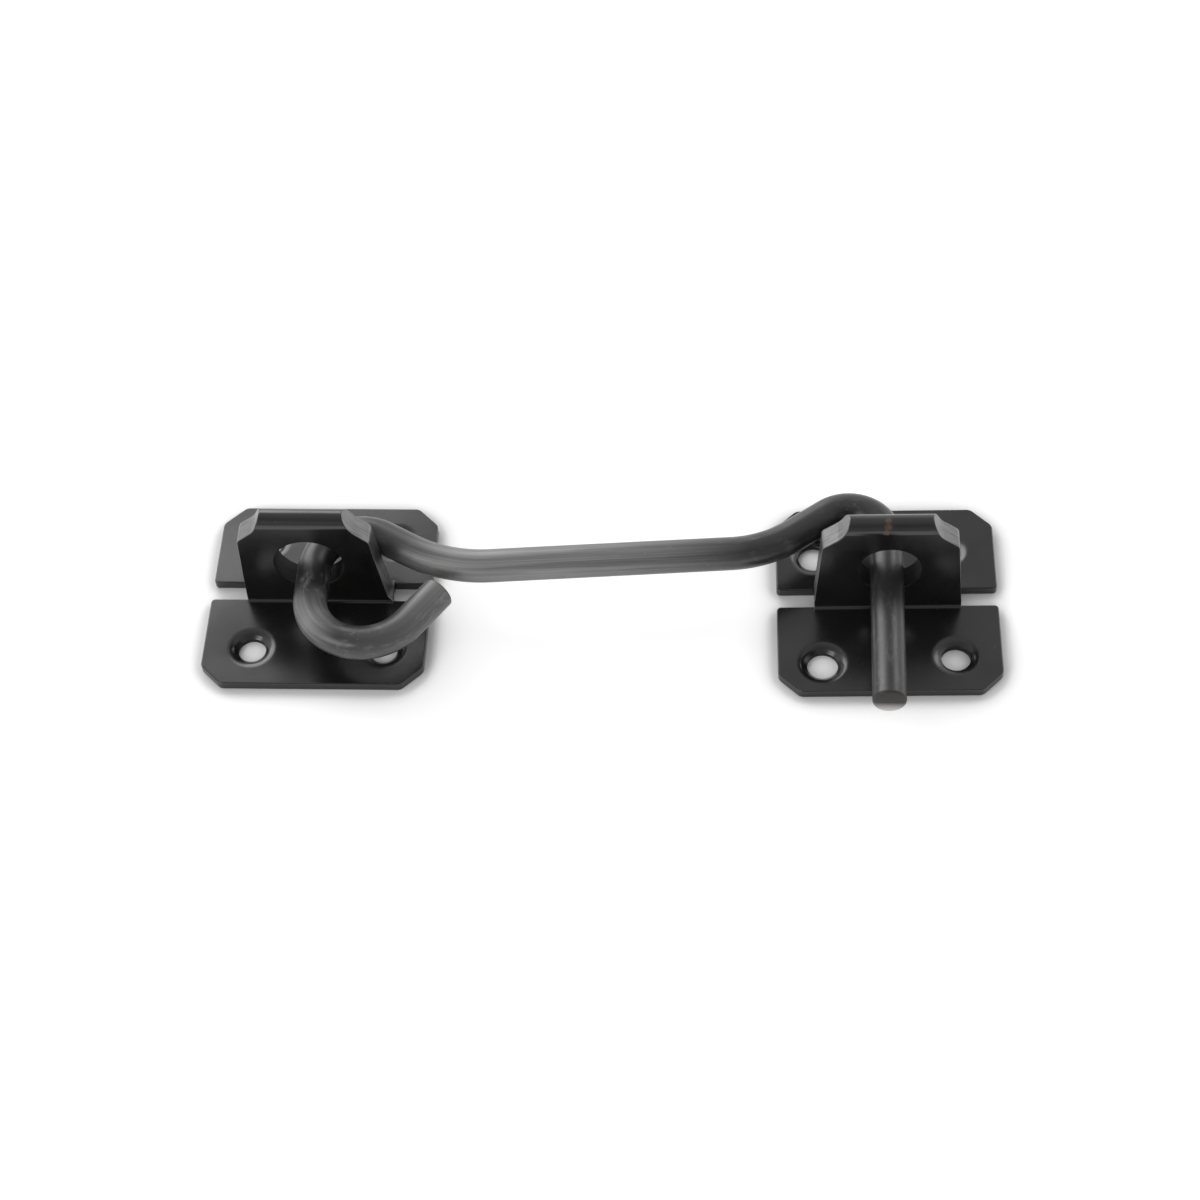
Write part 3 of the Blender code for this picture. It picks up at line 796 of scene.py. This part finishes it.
def blend_levels(tree, share, first, second, place):
    """A level between two, each a plain number or another node's output."""
    node = shade(tree, "ShaderNodeMix", place, data_type="FLOAT")
    for name, value in (("Factor", share), ("A", first), ("B", second)):
        feed(tree, node.inputs[name], value)
    return node.outputs[0]


floor_bm = bmesh.new()
bmesh.ops.create_grid(floor_bm, x_segments=1, y_segments=1, size=3.0)
floor_mesh = bpy.data.meshes.new("table_top")
floor_bm.to_mesh(floor_mesh)
floor_bm.free()
table_top = bpy.data.objects.new("table_top", floor_mesh)
bpy.context.scene.collection.objects.link(table_top)
white = bpy.data.materials.new("white_table")
white.use_nodes = True
tree = white.node_tree
shader = tree.nodes["Principled BSDF"]
shader.inputs["Base Color"].default_value = (0.80, 0.80, 0.80, 1.0)
shader.inputs["Roughness"].default_value = 0.9
shader.inputs["Specular IOR Level"].default_value = 0.0
shader.inputs["Emission Color"].default_value = (1.0, 1.0, 1.0, 1.0)
_, shown = seen_or_mirrored(tree)
# The table's glow fades out where ambient occlusion finds the parts close: a painted contact shadow.
painted_contact_shadow_ao = shade(tree, "ShaderNodeAmbientOcclusion", (-500, -550), samples=16)
painted_contact_shadow_ao.inputs["Distance"].default_value = 0.007
glow_less_painted_shadow = ramp(tree, painted_contact_shadow_ao.outputs["AO"], 0.0, 0.42, 0.80, 0.99, (-350, -550))
feed(tree, shader.inputs["Emission Strength"], worked(tree, "MULTIPLY", (shown, glow_less_painted_shadow), (-200, -300)))
floor_mesh.materials.append(white)

world = bpy.data.worlds.new("white_surround")
bpy.context.scene.world = world
world.use_nodes = True
sky = world.node_tree
background = sky.nodes["Background"]
background.inputs["Color"].default_value = (1.0, 1.0, 1.0, 1.0)
seen, shown = seen_or_mirrored(sky)
heading = shade(sky, "ShaderNodeSeparateXYZ", (-1100, -300))
feed(sky, heading.inputs[0], shade(sky, "ShaderNodeTexCoord", (-1300, -300)).outputs["Generated"])
overhead = ramp(sky, heading.outputs["Z"], 1.0, 0.60, 0.45, 0.80, (-900, -300), "SMOOTHSTEP")
near_side = ramp(sky, heading.outputs["Y"], 0.45, 1.0, -0.8, 0.3, (-900, -550), "SMOOTHSTEP")
mirrored = worked(sky, "MULTIPLY", (overhead, near_side), (-650, -400))
bright = blend_levels(sky, seen, mirrored, 1.0, (-400, -200))
feed(sky, background.inputs["Strength"], blend_levels(sky, shown, 0.62, bright, (-200, 0)))

LAMP_AIM = Vector((0.05, 0.0, 0.0))


def soft_lamp(name, place, width, height, energy):
    """A rectangular soft lamp that faces the middle of the hook."""
    data = bpy.data.lights.new(name, "AREA")
    data.shape = "RECTANGLE"
    data.size = width
    data.size_y = height
    data.energy = energy
    lamp = bpy.data.objects.new(name, data)
    bpy.context.scene.collection.objects.link(lamp)
    lamp.location = place
    lamp.rotation_mode = "QUATERNION"
    lamp.rotation_quaternion = (LAMP_AIM - lamp.location).to_track_quat("-Z", "Y")


soft_lamp("back_left_lamp", (-0.50, 0.80, 0.60), 0.88, 0.72, 5.6)
soft_lamp("back_right_lamp", (0.72, 0.69, 0.62), 0.45, 0.45, 1.2)
soft_lamp("front_left_lamp", (-0.64, -0.68, 0.50), 0.60, 0.45, 3.0)

camera_data = bpy.data.cameras.new("table_camera")
camera_data.sensor_fit = "HORIZONTAL"
camera_data.sensor_width = 36.0
camera_data.lens = 80.0625
camera_data.shift_x = -0.06823
camera_data.shift_y = 0.0
camera_data.clip_start = 0.01
camera_data.clip_end = 20.0
camera = bpy.data.objects.new("table_camera", camera_data)
bpy.context.scene.collection.objects.link(camera)
look = Vector((-0.03602, 0.60073, -0.79864)).normalized()
right = Vector((0.99932, 0.02831, -0.02378))
right = (right - look * right.dot(look)).normalized()
up = right.cross(look)
stand = Matrix((right, up, -look)).transposed().to_4x4()
stand.translation = (0.08318, -0.27914, 0.38813)
camera.matrix_world = stand
bpy.context.scene.camera = camera
bpy.context.scene.view_settings.view_transform = "Standard"
